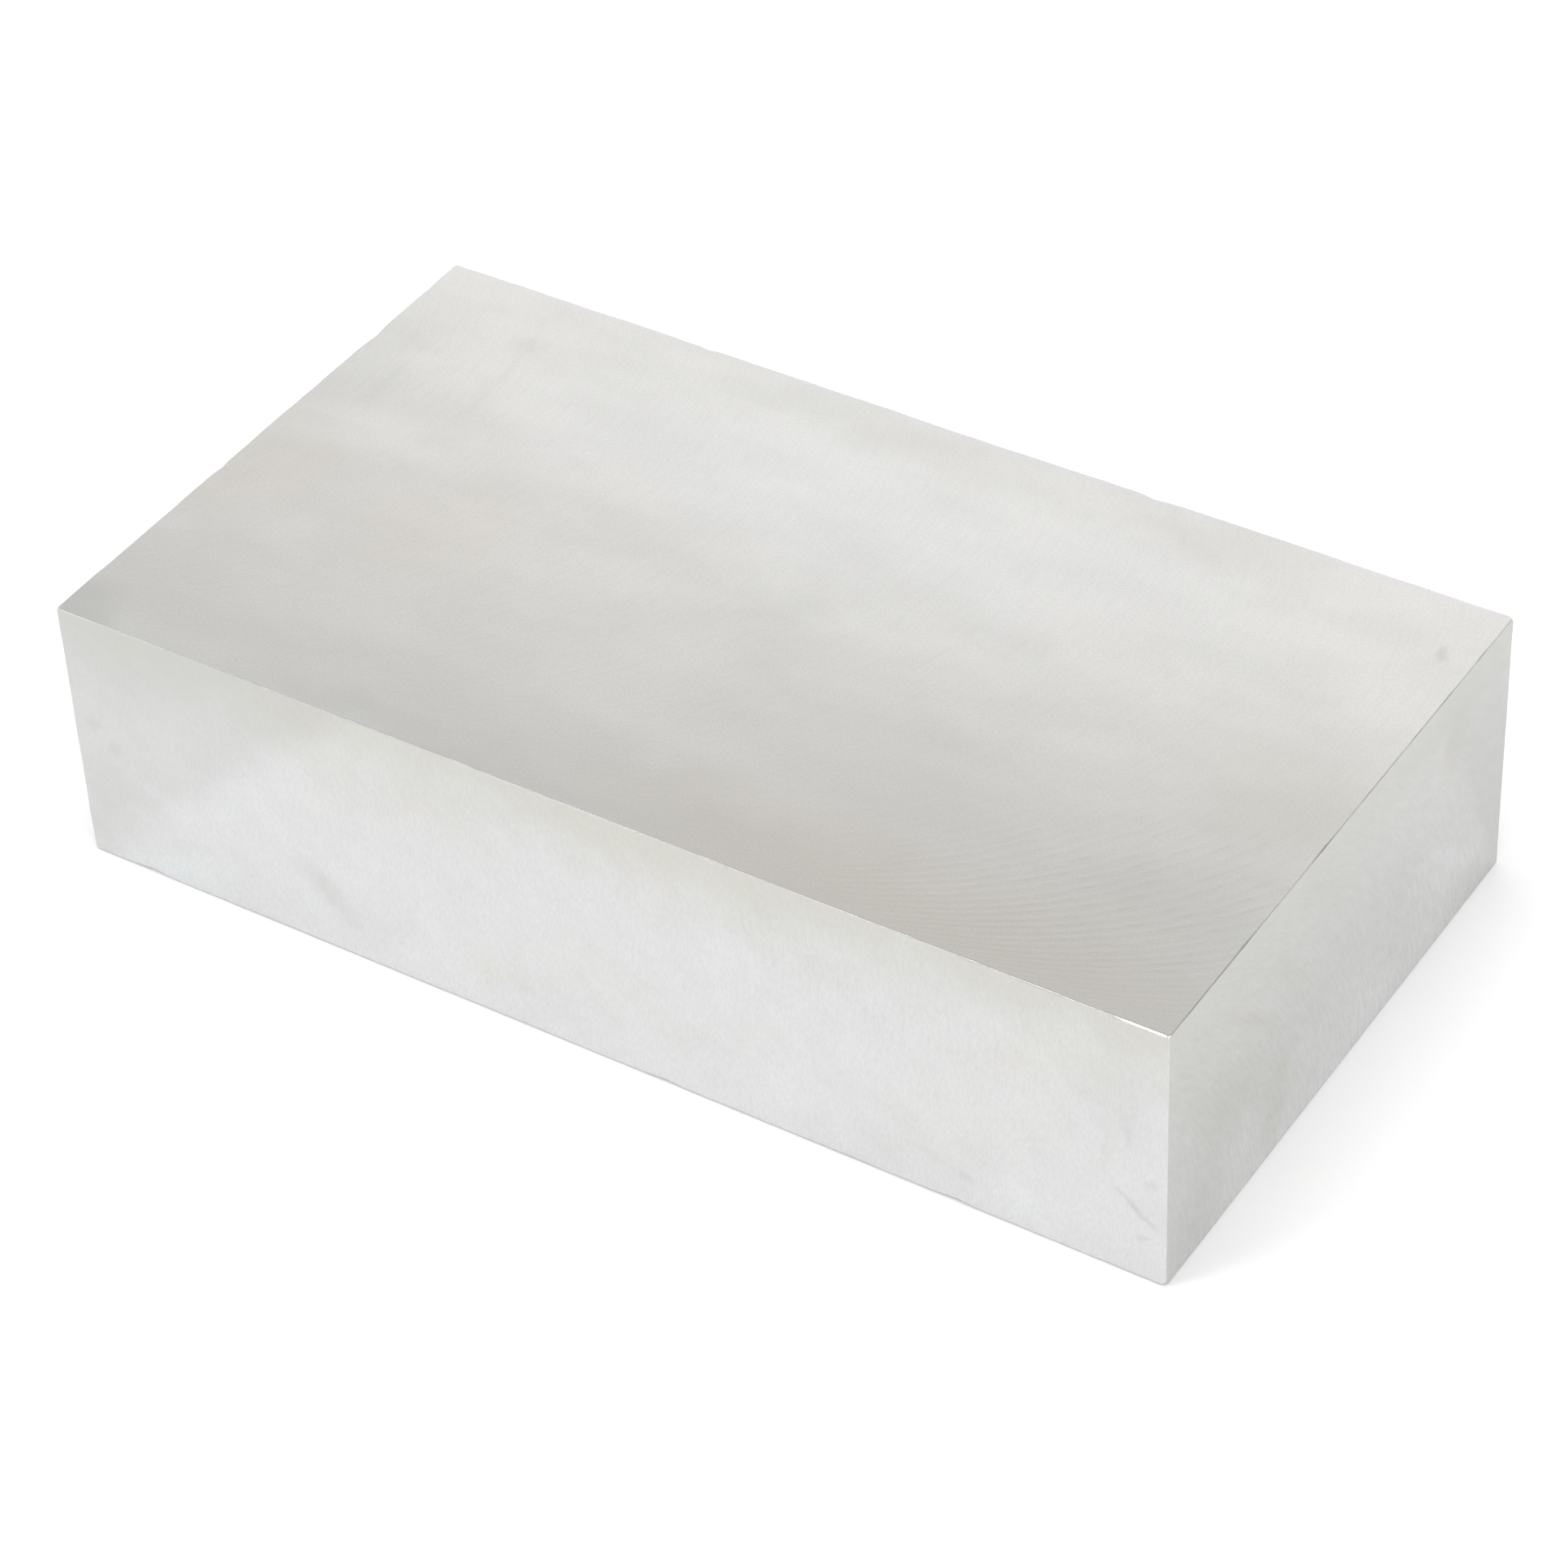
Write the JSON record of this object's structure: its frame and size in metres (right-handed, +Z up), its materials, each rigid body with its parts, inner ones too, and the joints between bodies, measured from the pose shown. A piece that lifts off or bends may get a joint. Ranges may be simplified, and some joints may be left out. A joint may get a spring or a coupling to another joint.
{
  "type": "machined metal block",
  "caption": "Solid rectangular block of silver-white metal, milled flat on every face, with lightly broken edges.",
  "frame": {"origin": "centre of the bottom face, which the block rests on", "axes": "+X along the length, +Y across the width, +Z up through the thickness"},
  "size_m": [0.2, 0.11, 0.05],
  "materials": {
    "milled_metal": "bare, face-milled, satin, with faint curved cutter marks and handling smudges"
  },
  "bodies": {
    "root": {"block": "milled_metal"}
  },
  "joints": []
}
